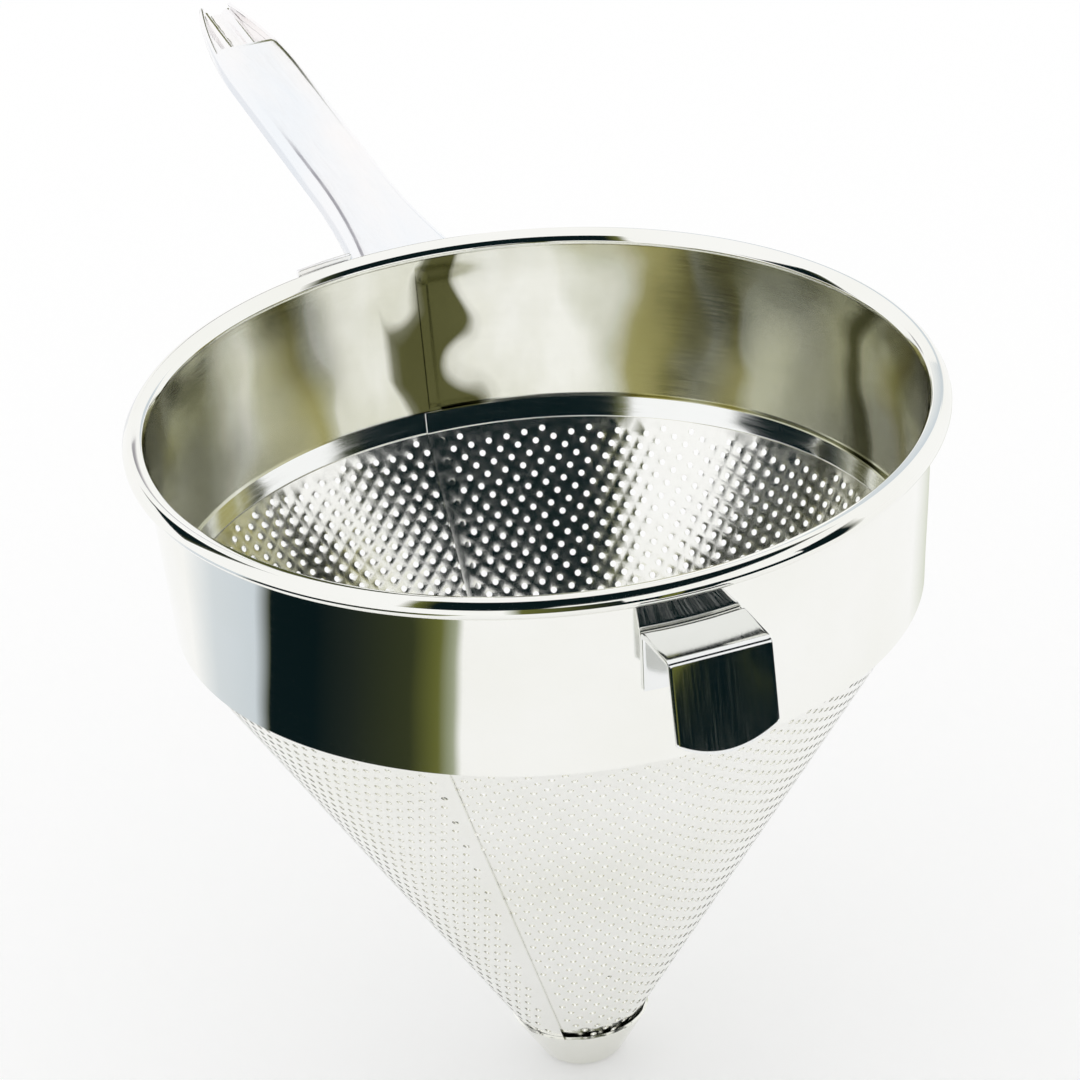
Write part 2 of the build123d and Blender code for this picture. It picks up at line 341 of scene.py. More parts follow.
def bright_steel(
    name, clean, aged, shine, dull, grain, swell_depth,
    stain_scale=18.0, stain_stretch=(1, 1, 1), swell_stretch=(1, 1, 1), flare=0.0, painted_reflections=None,
):
    """Bright sheet steel: two near tones in soft clouds, a grain of fine scratches along the direction of
    rolling that sets the roughness between shine and dull, and a slow swell that bends the reflections a little.
    A flare leans the surface upwards by the arctangent of its number, and the list of (azimuth, tone) multiplies
    painted reflections into the steel's colour round the Z axis: light and dark bands that stand in for reflections."""
    material, nodes, links = tree_of(name)
    shader = nodes["Principled BSDF"]
    shader.inputs["Metallic"].default_value = 1.0
    clouds = noise_on(nodes, links, stain_scale, stretch=stain_stretch, detail=4.0)
    scratches = noise_on(nodes, links, scratch_scale, stretch=grain, detail=2.0)
    swell = noise_on(nodes, links, swell_scale, stretch=swell_stretch, detail=1.0)
    tone = ramp_on(nodes, links, clouds, list(zip(cloud_range, (clean, aged))))
    if painted_reflections:
        # Painted reflections: the azimuth bands multiply the steel's colour
        multiply = nodes.new("ShaderNodeMix")
        multiply.data_type = "RGBA"
        multiply.blend_type = "MULTIPLY"
        multiply.inputs["Factor"].default_value = 1.0
        links.new(tone, multiply.inputs["A"])
        links.new(painted_reflection_round(nodes, links, painted_reflections), multiply.inputs["B"])
        tone = multiply.outputs["Result"]
    links.new(tone, shader.inputs["Base Color"])
    links.new(range_on(nodes, links, scratches, shine, dull), shader.inputs["Roughness"])
    normal = bump_on(nodes, links, swell, 1.0, swell_depth)
    normal = bump_on(nodes, links, scratches, scratch_strength, scratch_depth, normal)
    if flare:
        normal = bump_on(nodes, links, place_parts(nodes, links)["Z"], 1.0, flare, normal)
        normal.node.invert = True
    links.new(normal, shader.inputs["Normal"])
    return material


# Tones of painted reflections on the collar's inner wall, from light bands to near-black ones, that stand in for what
# the wall reflects
painted_clear_reflection = (1.0, 1.0, 0.99)
painted_pale_reflection = (0.86, 0.87, 0.83)
painted_khaki_reflection = (0.68, 0.68, 0.56)
painted_olive_reflection = (0.47, 0.44, 0.20)
painted_dark_reflection = (0.12, 0.12, 0.05)
collar_steel = bright_steel(
    "polished_collar_steel", (0.93, 0.93, 0.90), (0.89, 0.89, 0.84),
    shine=0.03, dull=0.07, grain=(1, 1, 30), swell_depth=0.10 * MM,
)
# Inner wall of the collar: a cloudy tone multiplied by bands of painted reflection round the axis
inner_wall_painted_reflection_steel = bright_steel(
    "inner_wall_steel_painted_reflections", (0.98, 0.98, 0.95), (0.80, 0.80, 0.70),
    shine=0.14, dull=0.20, grain=(1, 1, 30), swell_depth=0.9 * MM,
    stain_scale=40.0, stain_stretch=(1, 1, 0.5), swell_stretch=(1, 1, 0.45),
    painted_reflections=[
        (-180, painted_clear_reflection), (-20, painted_clear_reflection), (-8, painted_khaki_reflection), (-3, painted_olive_reflection), (3, painted_khaki_reflection), (7, painted_khaki_reflection),
        (9, painted_dark_reflection), (11, painted_dark_reflection), (14, painted_khaki_reflection), (31, painted_khaki_reflection), (34, painted_olive_reflection), (42, painted_khaki_reflection),
        (46, painted_olive_reflection), (56, painted_olive_reflection), (61, painted_pale_reflection), (63, painted_clear_reflection), (78.5, painted_clear_reflection), (80, painted_dark_reflection),
        (87, painted_dark_reflection), (88.5, painted_clear_reflection), (101, painted_clear_reflection), (103, painted_khaki_reflection), (108, painted_olive_reflection), (118, painted_khaki_reflection),
        (123, painted_clear_reflection), (142, painted_khaki_reflection),
    ],
)
panel_steel = bright_steel(
    "perforated_panel_steel", (0.94, 0.94, 0.91), (0.90, 0.90, 0.85),
    shine=0.10, dull=0.18, grain=(6, 6, 6), swell_depth=0.12 * MM,
)
strip_steel = bright_steel(
    "plain_strip_steel", (0.92, 0.93, 0.92), (0.88, 0.89, 0.86),
    shine=0.06, dull=0.12, grain=(1, 1, 20), swell_depth=0.10 * MM, flare=0.5,
)
cap_steel = bright_steel(
    "spun_cap_steel", (0.92, 0.92, 0.88), (0.84, 0.84, 0.78),
    shine=0.10, dull=0.22, grain=(1, 1, 20), swell_depth=0.2 * MM,
)
strap_steel = bright_steel(
    "strap_steel", (0.90, 0.91, 0.91), (0.84, 0.85, 0.84),
    shine=0.06, dull=0.14, grain=(30, 1, 1), swell_depth=0.05 * MM,
)
handle_steel = bright_steel(
    "handle_steel", (0.985, 0.965, 0.96), (0.90, 0.93, 0.965),
    shine=0.12, dull=0.20, grain=(20, 1, 20), swell_depth=0.2 * MM,
    stain_scale=50.0, stain_stretch=(1, 0.2, 1),
)
wire_steel = bright_steel(
    "wire_steel", (0.80, 0.80, 0.79), (0.70, 0.70, 0.68),
    shine=0.2, dull=0.35, grain=(1, 1, 20), swell_depth=0.05 * MM,
)


# Collar band with its rolled rim

# Round stretches of the rim's roll: facing angles, radius, and the flat stretch after each
roll_bends = [
    (205, 150, 1.3 * MM, 1.2 * MM),
    (150, 105, 1.3 * MM, 2.2 * MM),
    (105, 35, 1.2 * MM, 1.8 * MM),
    (35, -90, 2.4 * MM, 0),
]
roll_bend_steps = 9
roll_mouth = 0.4 * MM
wall_rows = 40
wall_top_share = 0.75
wall_finish_room = 0.5 * MM
collar_seam = 89.0
collar_lap = 30.0 * MM
single_columns = 480
lap_columns = 46
rib_place = 1.0
rib_half_turn = 0.75
rib_height = 0.35 * MM
collar_dent_waves = 14
inner_dent = 0.10 * MM
outer_dent = 0.03 * MM
dent_fade_foot = 9 * MM
dent_fade_rim = 14 * MM
lap_fade_foot = 1 * MM
lap_fade_rim = (8 * MM, 2 * MM)


def collar_line():
    """Centre line (radius, height) of the collar's sheet: up the tapered wall, over the wire in a roll with three
    flattened sides and back to the wall. A round stretch from one facing angle to another moves by its radius times
    the difference of their cosines and sines, and a flat stretch moves square to its facing angle."""
    half = collar_sheet / 2
    curl = roll_height / 2 - half
    wall_heights = np.linspace(foot_height, rim_height - wall_top_share * curl, wall_rows)
    wall = np.stack([collar_outside(wall_heights) - half, wall_heights], axis=1)
    roll = [np.zeros((1, 2))]
    for start, end, radius, flat in roll_bends:
        angles = np.radians(np.linspace(start, end, roll_bend_steps))
        bend = radius * np.stack([np.cos(angles), np.sin(angles)], axis=1)
        roll.append(roll[-1][-1] + bend[1:] - bend[0])
        if flat:
            roll.append(roll[-1][-1:] + flat * np.array([[math.sin(angles[-1]), -math.cos(angles[-1])]]))
    roll = np.vstack(roll)
    roll += (rim_radius - half - roll[:, 0].max(), rim_height + curl - roll[:, 1].max())
    return np.vstack([wall, roll, [[collar_outside(rim_height) + roll_mouth, roll[-1, 1]]]])


def make_collar():
    """The collar's line turned about the axis, with shallow dents in its wall, a lap that thickens the wall towards
    the seam, and a fine rib of solder on it. Its front side in the line's sense is the inner wall and the outside
    of the roll."""
    half = collar_sheet / 2
    line = collar_line()
    height = line[:, 1]
    wall_top = height[wall_rows - 1]
    along = np.gradient(line, axis=0)
    along /= np.linalg.norm(along, axis=1)[:, None]
    normal = np.stack([-along[:, 1], along[:, 0]], axis=1)
    lap = math.degrees(collar_lap / collar_outside(rim_height))
    seam_end = collar_seam + 360
    turns = (np.linspace(0, 360 - lap, single_columns), np.linspace(360 - lap, 360, lap_columns)[1:])
    azimuth = collar_seam + np.concatenate(turns)
    on_wall = np.arange(len(line)) < wall_rows
    dented = soft_step(height, foot_height, foot_height + dent_fade_foot) * on_wall
    dented *= 1 - soft_step(height, rim_height - dent_fade_rim, wall_top)
    dents = ripples(azimuth[None, :], height[:, None], collar_dent_waves, seed=11) * dented[:, None]
    from_rib = (seam_end - rib_place - azimuth) / rib_half_turn
    solder_rib = rib_height * np.clip(1 - from_rib**2, 0, None)
    lapped = soft_step(azimuth, seam_end - lap, seam_end) * collar_sheet + solder_rib
    lap_heights = soft_step(height, lip_top, lip_top + lap_fade_foot) * on_wall
    lap_heights *= 1 - soft_step(height, wall_top - lap_fade_rim[0], wall_top - lap_fade_rim[1])
    front_push = -inner_dent * dents - lapped[None, :] * lap_heights[:, None]
    back_push = -outer_dent * dents
    front, back = (
        around((line + side * normal)[:, :1] + push, (line + side * normal)[:, 1:], azimuth[None, :]).reshape(-1, 3)
        for side, push in ((half, front_push), (-half, back_push))
    )
    faces = grid_faces(len(line), len(azimuth), closed=True)[:, ::-1]
    vertices, faces = closed_sheet(front, back, [faces])
    piece = add_piece("collar_with_rolled_rim", vertices, faces, ["collar_band"], collar_steel)
    merge_twins(piece)
    finish_top = wall_top + wall_finish_room
    # The inner wall takes the steel with painted reflections
    second_finish(piece, inner_wall_painted_reflection_steel, lambda x, y, z: (np.hypot(x, y) < collar_outside(z) - half) & (z < finish_top))


make_collar()


# Perforated cone panels, worked out on the flat sheet

hole_radius = 1.05 * MM
hole_pitch_across = 6.0 * MM
hole_pitch_along = 7.0 * MM
plain_edge = 4.3 * MM
plain_top = 2.75 * MM
hole_sink = 0.10 * MM
under_cap = 3 * MM
panel_bend_radius = 1.6 * MM
outline_step = 1.6 * MM
outline_room = 0.25 * MM
same_arc = 0.01 * MM
lip_step = 3 * MM
strip_start = 0.6 * MM
flat_share = math.sin(cone_lean)
rear_seam = 90.0
front_seam = 234.7
seam_lap = 6.0 * MM

# Twelve points round a cell, one third of a side apart, in thirds of its half diagonals
cell_steps = np.array(
    [(3, 0), (2, 1), (1, 2), (0, 3), (-1, 2), (-2, 1), (-3, 0), (-2, -1), (-1, -2), (0, -3), (1, -2), (2, -1)]
)
third = np.array([hole_pitch_across, hole_pitch_along]) / 6
lattice = 3 * third
cell_ring = cell_steps * third
hole_ring = hole_radius * cell_ring / np.linalg.norm(cell_ring, axis=1)[:, None]
ring_size = len(cell_steps)

# Whole numbers stay under the key's reach, and flat points are told apart by four decimals of a millimetre
key_reach = 4000
spot_digits = 4
spot_row = 1e5


def pair_key(pairs):
    """One number for each pair of small whole numbers."""
    return (pairs[..., 0] + key_reach) * 2 * key_reach + pairs[..., 1] + key_reach


def cell_key(places):
    """One number for the cell that holds a place on the lattice, from half the sum and half the difference of the
    place's two numbers, both rounded."""
    return pair_key(np.round((places @ [[1, 1], [1, -1]]) / 2))


def spot_key(points):
    """One number for each flat point, the same for points in one place."""
    spots = np.round(points / MM, spot_digits)
    return np.round(spots[:, 0] * spot_row + spots[:, 1], 3)


def in_sector(points, turn, edge, bottom, top):
    """Whether flat points keep a margin from both straight edges and lie between two distances from the apex."""
    distance = np.hypot(points[..., 0], points[..., 1])
    angle = np.arctan2(points[..., 0], points[..., 1])
    far_edge = distance * np.sin(np.clip(turn - angle, -math.pi / 2, math.pi / 2))
    near_edge = distance * np.sin(np.clip(angle, -math.pi / 2, math.pi / 2))
    return (near_edge > edge) & (far_edge > edge) & (distance > bottom) & (distance < top)


def hole_lattice(low, high, hole_low, hole_high, turn):
    """Cells (across, along) and centres of a staggered lattice square with the rear edge, whether each cell lies
    whole inside the outline, and where the lattice starts."""
    reach = int(high / lattice[0]) + 2
    across, along = np.meshgrid(np.arange(-reach, reach), np.arange(-reach, reach))
    staggered = (across + along) % 2 == 0
    cells = np.stack([across[staggered], along[staggered]], axis=1)
    start = np.array([plain_edge - lattice[0], math.fmod(hole_high, lattice[1])])
    centres = cells * lattice + start
    holed = in_sector(centres, turn, plain_edge - outline_room, hole_low, hole_high + outline_room)
    cells, centres = cells[holed], centres[holed]
    tips = centres[:, None, :] + cell_ring[::3]
    whole = in_sector(tips, turn, outline_room, low + outline_room, high - outline_room).all(axis=1)
    return cells, centres, whole, start


def ringed_cells(cells, centres, start):
    """Points and triangles of whole cells, each a twelve-sided ring round its hole, and the field's free edges.
    Neighbours share the points of their sides."""
    keys, inverse = np.unique(pair_key(3 * cells[:, None, :] + cell_steps).ravel(), return_inverse=True)
    pairs = np.stack([keys // (2 * key_reach) - key_reach, keys % (2 * key_reach) - key_reach], axis=1)
    outer = inverse.reshape(-1, ring_size)
    inner = len(keys) + np.arange(outer.size).reshape(-1, ring_size)
    points = np.vstack([pairs * third + start, (centres[:, None, :] + hole_ring).reshape(-1, 2)])
    quads = np.stack([outer, np.roll(outer, -1, 1), np.roll(inner, -1, 1), inner], axis=-1).reshape(-1, 4)
    triangles = np.vstack([quads[:, [0, 1, 2]], quads[:, [0, 2, 3]]])
    sides = np.sort(quads[:, :2], axis=1)
    _, first, uses = np.unique(sides[:, 0] * len(points) + sides[:, 1], return_index=True, return_counts=True)
    return points, triangles, sides[first[uses == 1]]


def fill_round(points, field_edges, cells, whole, centres, start, low, high, turn):
    """Points and triangles of what is left between the field of whole cells, the outline and the holes whose cells
    the outline cuts. Triangles inside a whole cell or inside a hole are dropped."""
    field_used, field_index = np.unique(field_edges, return_inverse=True)
    arc_top = np.linspace(0, turn, int(turn * high / outline_step))
    arc_low = np.linspace(turn, 0, int(turn * low / outline_step) + 3)
    outline = np.vstack([
        high * np.stack([np.sin(arc_top), np.cos(arc_top)], axis=1),
        low * np.stack([np.sin(arc_low), np.cos(arc_low)], axis=1),
    ])
    cut_centres = centres[~whole]
    cut_rims = (cut_centres[:, None, :] + hole_ring).reshape(-1, 2)
    seeds = np.vstack([points[field_used], outline, cut_rims])
    outline_index = len(field_used) + np.arange(len(outline))
    rim_index = (len(field_used) + len(outline) + np.arange(len(cut_rims))).reshape(-1, ring_size)
    fixed = np.vstack([
        field_index.reshape(-1, 2),
        np.stack([outline_index, np.roll(outline_index, -1)], axis=1),
        np.stack([rim_index, np.roll(rim_index, -1, 1)], axis=-1).reshape(-1, 2),
    ])
    filled = delaunay_2d_cdt([Vector(seed) for seed in (seeds / MM).tolist()], fixed.tolist(), [], 0, 1e-6)
    fill_points = np.array([list(corner) for corner in filled[0]]) * MM
    fill = np.array([face for face in filled[2] if len(face) == 3])
    middles = fill_points[fill].mean(axis=1)
    keep = in_sector(middles, turn, 0.0, low, math.inf)
    keep &= ~np.isin(cell_key((middles - start) / lattice), cell_key(cells[whole]))
    sides = (hole_ring + np.roll(hole_ring, -1, 0)) / 2
    side_reach = np.linalg.norm(sides, axis=1)
    from_holes = ((middles[:, None, None, :] - cut_centres[None, :, None, :]) * (sides / side_reach[:, None])).sum(-1)
    keep &= ~(from_holes < side_reach).all(axis=-1).any(axis=-1)
    return fill_points, fill[keep], cut_rims


def flat_panel(low, high, hole_low, hole_high, turn):
    """The panel's flat sheet with its holes: points, triangles that all run anticlockwise, and which points lie on a
    hole's rim. Both sets of points are merged, and only the used ones are kept."""
    cells, centres, whole, start = hole_lattice(low, high, hole_low, hole_high, turn)
    points, triangles, field_edges = ringed_cells(cells[whole], centres[whole], start)
    fill_points, fill, cut_rims = fill_round(points, field_edges, cells, whole, centres, start, low, high, turn)
    every = np.vstack([points, fill_points])
    spots = np.round(every / MM, spot_digits)
    _, first, merged = np.unique(spots, axis=0, return_index=True, return_inverse=True)
    used, faces = np.unique(merged.ravel()[np.vstack([triangles, fill + len(points)])], return_inverse=True)
    faces = faces.reshape(-1, 3)
    flat = every[first[used]]
    corners = flat[faces]
    area = np.cross(corners[:, 1] - corners[:, 0], corners[:, 2] - corners[:, 0])
    faces = np.where((area > 0)[:, None], faces, faces[:, ::-1])
    rims = np.vstack([(centres[whole][:, None, :] + hole_ring).reshape(-1, 2), cut_rims])
    return flat, faces, np.isin(spot_key(flat), spot_key(rims))


def make_panel(name, node, edge_azimuth, sense, spread, layer):
    """One perforated panel, from the flat sheet to the cone. It runs from the azimuth of its rear edge in a sense
    over a spread of degrees, as the outer layer (0) or the inner one (1).
    On the flat sheet a point has a distance from the cone's apex (its radius over the sine of the half angle) and an
    angle from the panel's rear edge (its azimuth from there times that sine). A plain bend and an upright lip
    follow above."""
    depth = cone_sheet / 2 + layer * (cone_sheet + sheet_fit)
    drop = depth / math.cos(cone_lean)

    def centre_radius(height):
        """Radius of the panel's middle surface at a height of the cone."""
        return cone_tip_radius + cone_slope * height - drop

    def lip_radius(height):
        """Radius of the middle surface of the upright lip."""
        return collar_outside(height) - collar_sheet - sheet_fit - depth

    bend_height = (lip_radius(0.0) - centre_radius(0.0)) / (cone_slope - collar_slope)
    profile, profile_normals = bent_line(
        [
            (centre_radius(cone_end_height), cone_end_height),
            (lip_radius(bend_height), bend_height),
            (lip_radius(lip_top), lip_top),
        ],
        panel_bend_radius,
    )
    low, high = profile[:2, 0] / flat_share
    hole_low = centre_radius(cap_height - under_cap) / flat_share
    hole_high = centre_radius(foot_height) / flat_share - plain_top
    flat, faces, on_rim = flat_panel(low, high, hole_low, hole_high, math.radians(spread) * flat_share)
    distance, angle = np.hypot(flat[:, 0], flat[:, 1]), np.arctan2(flat[:, 0], flat[:, 1])

    # Bend and lip on the angles of the points along the top
    top = np.flatnonzero(np.abs(distance - high) < same_arc)
    top = top[np.argsort(angle[top])]
    bend, bend_normals = refine(profile[1:], profile_normals[1:], lip_step)
    rows, columns = len(bend), len(top)
    extra = len(flat) + np.arange((rows - 1) * columns).reshape(rows - 1, columns)
    ladder = np.vstack([top[None, :], extra])
    lip_quads = np.stack([ladder[:-1, 1:], ladder[1:, 1:], ladder[1:, :-1], ladder[:-1, :-1]], axis=-1).reshape(-1, 4)

    # Both parts rolled to the cone, each point pushed out to the sheet's two faces
    cone_heights = (distance * flat_share + drop - cone_tip_radius) / cone_slope
    radius = np.concatenate([distance * flat_share, np.repeat(bend[1:, 0], columns)])
    height = np.concatenate([cone_heights, np.repeat(bend[1:, 1], columns)])
    angles = np.concatenate([angle, np.tile(angle[top], rows - 1)]) / flat_share
    cone_normals = np.tile([math.cos(cone_lean), -math.sin(cone_lean)], (len(flat), 1))
    normals = np.vstack([cone_normals, np.repeat(bend_normals[1:], columns, axis=0)])
    azimuth = edge_azimuth + sense * np.degrees(angles)
    push = cone_sheet / 2 - np.concatenate([on_rim, np.zeros((rows - 1) * columns)]) * hole_sink
    front = around(radius + push * normals[:, 0], height + push * normals[:, 1], azimuth)
    back = around(radius - push * normals[:, 0], height - push * normals[:, 1], azimuth)
    faces = [faces, lip_quads]
    if sense < 0:
        faces = [face[:, ::-1] for face in faces]
    vertices, faces = closed_sheet(front, back, faces)
    piece = add_piece(name, vertices, faces, [node], panel_steel, sharp_angle=40)
    second_finish(piece, strip_steel, lambda x, y, z: z > foot_height + strip_start)


lap_turn = math.degrees(math.asin(seam_lap / cone_mouth_radius))
narrow_start = rear_seam - lap_turn
wide_start = front_seam - lap_turn
make_panel("cone_panel_narrow_perforated", "cone_panel_narrow", narrow_start, 1, front_seam - narrow_start, 0)
make_panel("cone_panel_wide_perforated", "cone_panel_wide", rear_seam + 360, -1, rear_seam + 360 - wide_start, 1)


# Tip cap

cap_bend_radius = 2.6 * MM
cap_bend_steps = 12
cap_step = 1.5 * MM
cap_turn_step = 3.0
cap_dent_waves = 6
cap_dent = 0.25 * MM
cap_dent_radii = (6 * MM, 12 * MM)


def make_cap():
    """Spun cap: a bent profile turned about the axis, out over its outer face and back over its inner one, from
    pole to pole, pressed in by a few shallow dents that fade out towards its middle."""
    half = cap_sheet / 2
    clear = (sheet_fit + half) / math.cos(cone_lean)

    def wall(height):
        """Radius of the cap's middle surface on the cone."""
        return cone_tip_radius + cone_slope * height + clear

    corners = [(0.0, half), (wall(half), half), (wall(cap_height), cap_height)]
    line, normals = refine(*bent_line(corners, cap_bend_radius, cap_bend_steps), cap_step)
    azimuth = np.arange(0, 360, cap_turn_step)
    dents = ripples(azimuth[None, :], line[:, 1:], cap_dent_waves, seed=5) * soft_step(line[:, :1], *cap_dent_radii)
    dents = np.minimum(dents, 0) * cap_dent
    outer, inner = (
        around((line + side * normals)[:, :1] + dents, (line + side * normals)[:, 1:], azimuth[None, :])
        for side in (half, -half)
    )
    vertices = np.vstack([outer, inner[::-1]]).reshape(-1, 3)
    faces = grid_faces(2 * len(line), len(azimuth), closed=True).tolist()
    piece = add_piece("tip_cap_spun", vertices, faces, ["tip_cap"], cap_steel)
    merge_twins(piece)


make_cap()


# Pot hook

hook_azimuth = math.radians(-88.4)
hook_width = 32.5 * MM
hook_reach = 20.4 * MM
hook_flange_drop = 20.0 * MM
hook_face_drop = 26.8 * MM
hook_splay = 2.7 * MM
hook_belly = 6.0 * MM
hook_bend_radius = 1.4 * MM
hook_bend_steps = 9
hook_step = 1.2 * MM
hook_columns = 29
hook_flattens = (2 * MM, 9 * MM)
hook_edge = 0.3 * MM


def make_hook():
    """Strap along a bent line in the plane of the axis: up the collar as a flange, out as a shelf, down as a face
    that leans out. Across its width the flange follows the collar's round wall, reach = sqrt(r * r - x * x), and
    the rest is straight. The face's lower end bows down by a parabola of the belly's depth."""
    shelf_middle = hook_high[2] - hook_sheet / 2
    flange_end = hook_high[2] - hook_flange_drop
    seat = sheet_fit + hook_sheet / 2
    wall = collar_outside(shelf_middle) + sheet_fit
    front = wall + hook_reach - hook_sheet / 2
    face_start = shelf_middle - hook_bend_radius
    face_end = hook_low[2] + hook_belly
    lean = hook_splay / hook_face_drop * (shelf_middle - face_end)
    corners = [
        (collar_outside(flange_end) + seat, flange_end),
        (collar_outside(shelf_middle) + seat, shelf_middle),
        (front, shelf_middle),
        (front + lean, face_end),
    ]
    line, normals = refine(*bent_line(corners, hook_bend_radius, hook_bend_steps), hook_step)
    half = hook_width / 2
    across = np.linspace(-half, half, hook_columns)[None, :]
    radial, height = line[:, :1], line[:, 1:]
    curved = 1 - soft_step(radial, wall + hook_flattens[0], wall + hook_flattens[1])
    on_face = np.clip((face_start - height) / (face_start - face_end), 0, 1) * (radial > front - hook_bend_radius)
    bow = on_face * hook_belly * (1 - (across / half) ** 2)
    layers = []
    for side in (-hook_sheet / 2, hook_sheet / 2):
        reach = radial + side * normals[:, :1]
        reach = curved * np.sqrt(reach**2 - across**2) + (1 - curved) * reach
        x = reach * math.cos(hook_azimuth) - across * math.sin(hook_azimuth)
        y = reach * math.sin(hook_azimuth) + across * math.cos(hook_azimuth)
        layers.append(np.stack([x, y, height + side * normals[:, 1:] - bow], axis=-1).reshape(-1, 3))
    vertices, faces = closed_sheet(*layers, [grid_faces(len(line), hook_columns)[:, ::-1]])
    piece = add_piece("pot_hook_strap", vertices, faces, ["pot_hook"], strap_steel)
    soften_edges(piece, hook_edge)


make_hook()


# Handle

handle_pitch = math.radians(3.2)
handle_offset = 2.1 * MM
handle_drop = 1.0 * MM
handle_length = 204.0 * MM
handle_half_width = 13.1 * MM
handle_wall = 6.5 * MM
handle_edge = 0.2 * MM
shoulder_radius = 4.0 * MM
root_flare = 4.6 * MM
root_flare_length = 60.0 * MM
nose_half_width = 6.0 * MM
nose_taper_length = 60.0 * MM
tray_length = 37.0 * MM
tray_wall_cut = 1.6 * MM
cut_margin = 0.01 * MM
closed_rows = 90
tray_rows = 24
shoulder_steps = 13
wall_steps = 4
top_steps = 15
underplate_rows = 100
underplate_columns = 61
ridge_radius = 1.7 * MM
ridge_spacing = 8.5 * MM
clasp_width = 20.0 * MM
clasp_room = 1.3 * MM
clasp_turn_height = rim_height - 8.0 * MM
saddle_top = rim_height - 4.5 * MM
saddle_bottom = saddle_low[2]
saddle_width = 66.0 * MM
saddle_bend_radius = 2.0 * MM
saddle_bend_steps = 9
saddle_step = 2.0 * MM
saddle_columns = 48
clasp_columns = 20


def arc_rise(run, reach, rise):
    """How far an arc has risen at a run from its flat start, when it rises by a rise over its whole reach. Its radius
    is (reach squared + rise squared) / (2 * rise)."""
    radius = (reach**2 + rise**2) / (2 * rise)
    return radius - np.sqrt(radius**2 - np.clip(run, 0, None) ** 2)


def handle_half(along):
    """Half width of the handle at a distance from the rim: a flared root, straight sides, and a nose on a long arc."""
    flare = arc_rise(root_flare_length - along, root_flare_length, root_flare)
    nose = arc_rise(along - (handle_length - nose_taper_length), nose_taper_length, handle_half_width - nose_half_width)
    return handle_half_width + flare - nose


def on_handle(x, along, up):
    """Points drawn across, along and above the handle's top, put on its pitched place at the rim."""
    y = rim_radius + along * math.cos(handle_pitch) - up * math.sin(handle_pitch)
    z = rim_height - handle_drop + along * math.sin(handle_pitch) + up * math.cos(handle_pitch)
    x, y, z = np.broadcast_arrays(x + handle_offset, y, z)
    return np.stack([x, y, z], axis=-1)


def root_place(x, up):
    """Distance along the handle where it meets the saddle's plate below and the rolled rim above, less the rim's
    radius: sqrt(clear radius squared - x squared)."""
    height = rim_height - handle_drop + up
    bottom = saddle_top + sheet_fit
    inner = collar_outside(saddle_top) + saddle_sheet + 2 * sheet_fit
    part = np.clip((height - bottom) / (rim_height - roll_height / 2 - sheet_fit - bottom), 0, 1)
    radius = inner + (rim_radius + sheet_fit - inner) * part
    return np.sqrt(radius**2 - (x + handle_offset) ** 2) - rim_radius


def from_root(x, up, share):
    """Distances along the handle at shares of the way from where the points of a profile meet the rim to its end."""
    return root_place(x, up)[None, :] * (1 - share[:, None]) + handle_length * share[:, None]


def make_handle_shell():
    """Channel: a flat top with two round shoulders and two walls, carried along the handle's changing width.
    Over the tray at the far end the faces above the cut are left out. The cut lies on a row of its own, where the
    sine of the shoulder's angle is (radius - cut) / radius."""
    cut_angle = math.degrees(math.asin((shoulder_radius - tray_wall_cut) / shoulder_radius))
    shoulder = np.radians(np.unique(np.append(np.linspace(0, 90, shoulder_steps), cut_angle)))
    wall_up = np.linspace(-handle_wall, -shoulder_radius, wall_steps)[:-1]
    top_share = np.linspace(-1, 1, top_steps)[1:-1]
    tray_share = (handle_length - tray_length) / handle_length
    share = np.concatenate([np.linspace(0, 1, closed_rows) * tray_share, np.linspace(tray_share, 1, tray_rows)[1:]])
    layers, levels = [], []
    for inset in (0.0, handle_sheet):
        bend = shoulder_radius - inset
        out = np.concatenate([np.zeros(len(wall_up)), bend * (1 - np.cos(shoulder))])
        side_up = np.concatenate([wall_up, bend * np.sin(shoulder) - shoulder_radius])
        up = np.concatenate([side_up, np.full(len(top_share), -inset), side_up[::-1]])
        half = handle_half(from_root(np.full(len(up), handle_half_width), up, share)) - inset
        left, top, right = np.split(half, [len(out), -len(out)], axis=1)
        x = np.hstack([out - left, (top - bend) * top_share, right - out[::-1]])
        layers.append(on_handle(x, from_root(x[0], up, share), up[None, :]).reshape(-1, 3))
        levels.append(up)
    over_tray = np.arange(len(share) - 1) >= closed_rows - 1
    above_cut = np.maximum(levels[0][:-1], levels[0][1:]) > cut_margin - tray_wall_cut
    window = (over_tray[:, None] & above_cut[None, :]).ravel()
    vertices, faces = closed_sheet(*layers, [grid_faces(len(share), len(levels[0]))[~window]])
    piece = add_piece("handle_channel", vertices, faces, ["handle_shell"], handle_steel)
    soften_edges(piece, handle_edge)


def make_underplate():
    """Plate between the walls: flat, with two half-round ridges pressed up along it. A ridge stands over the plate's
    middle by sqrt(radius squared - squared distance from its line)."""
    width_share = np.linspace(-1, 1, underplate_columns)
    share = np.linspace(0, 1, underplate_rows)
    along = from_root(handle_half_width * width_share, -handle_wall, share)
    x = (handle_half(along) - handle_sheet - sheet_fit) * width_share
    from_ridge = np.abs(np.abs(x) - ridge_spacing / 2)
    layers = []
    for side in (underplate_sheet / 2, -underplate_sheet / 2):
        radius = ridge_radius + side
        ridge = np.maximum(np.sqrt(np.clip(radius**2 - from_ridge**2, 0, None)), side)
        up = underplate_sheet / 2 - handle_wall + np.where(from_ridge < radius, ridge, side)
        layers.append(on_handle(x, along, up).reshape(-1, 3))
    vertices, faces = closed_sheet(*layers, [grid_faces(underplate_rows, underplate_columns)])
    add_piece("handle_underplate_ribbed", vertices, faces, ["handle_underplate"], handle_steel)


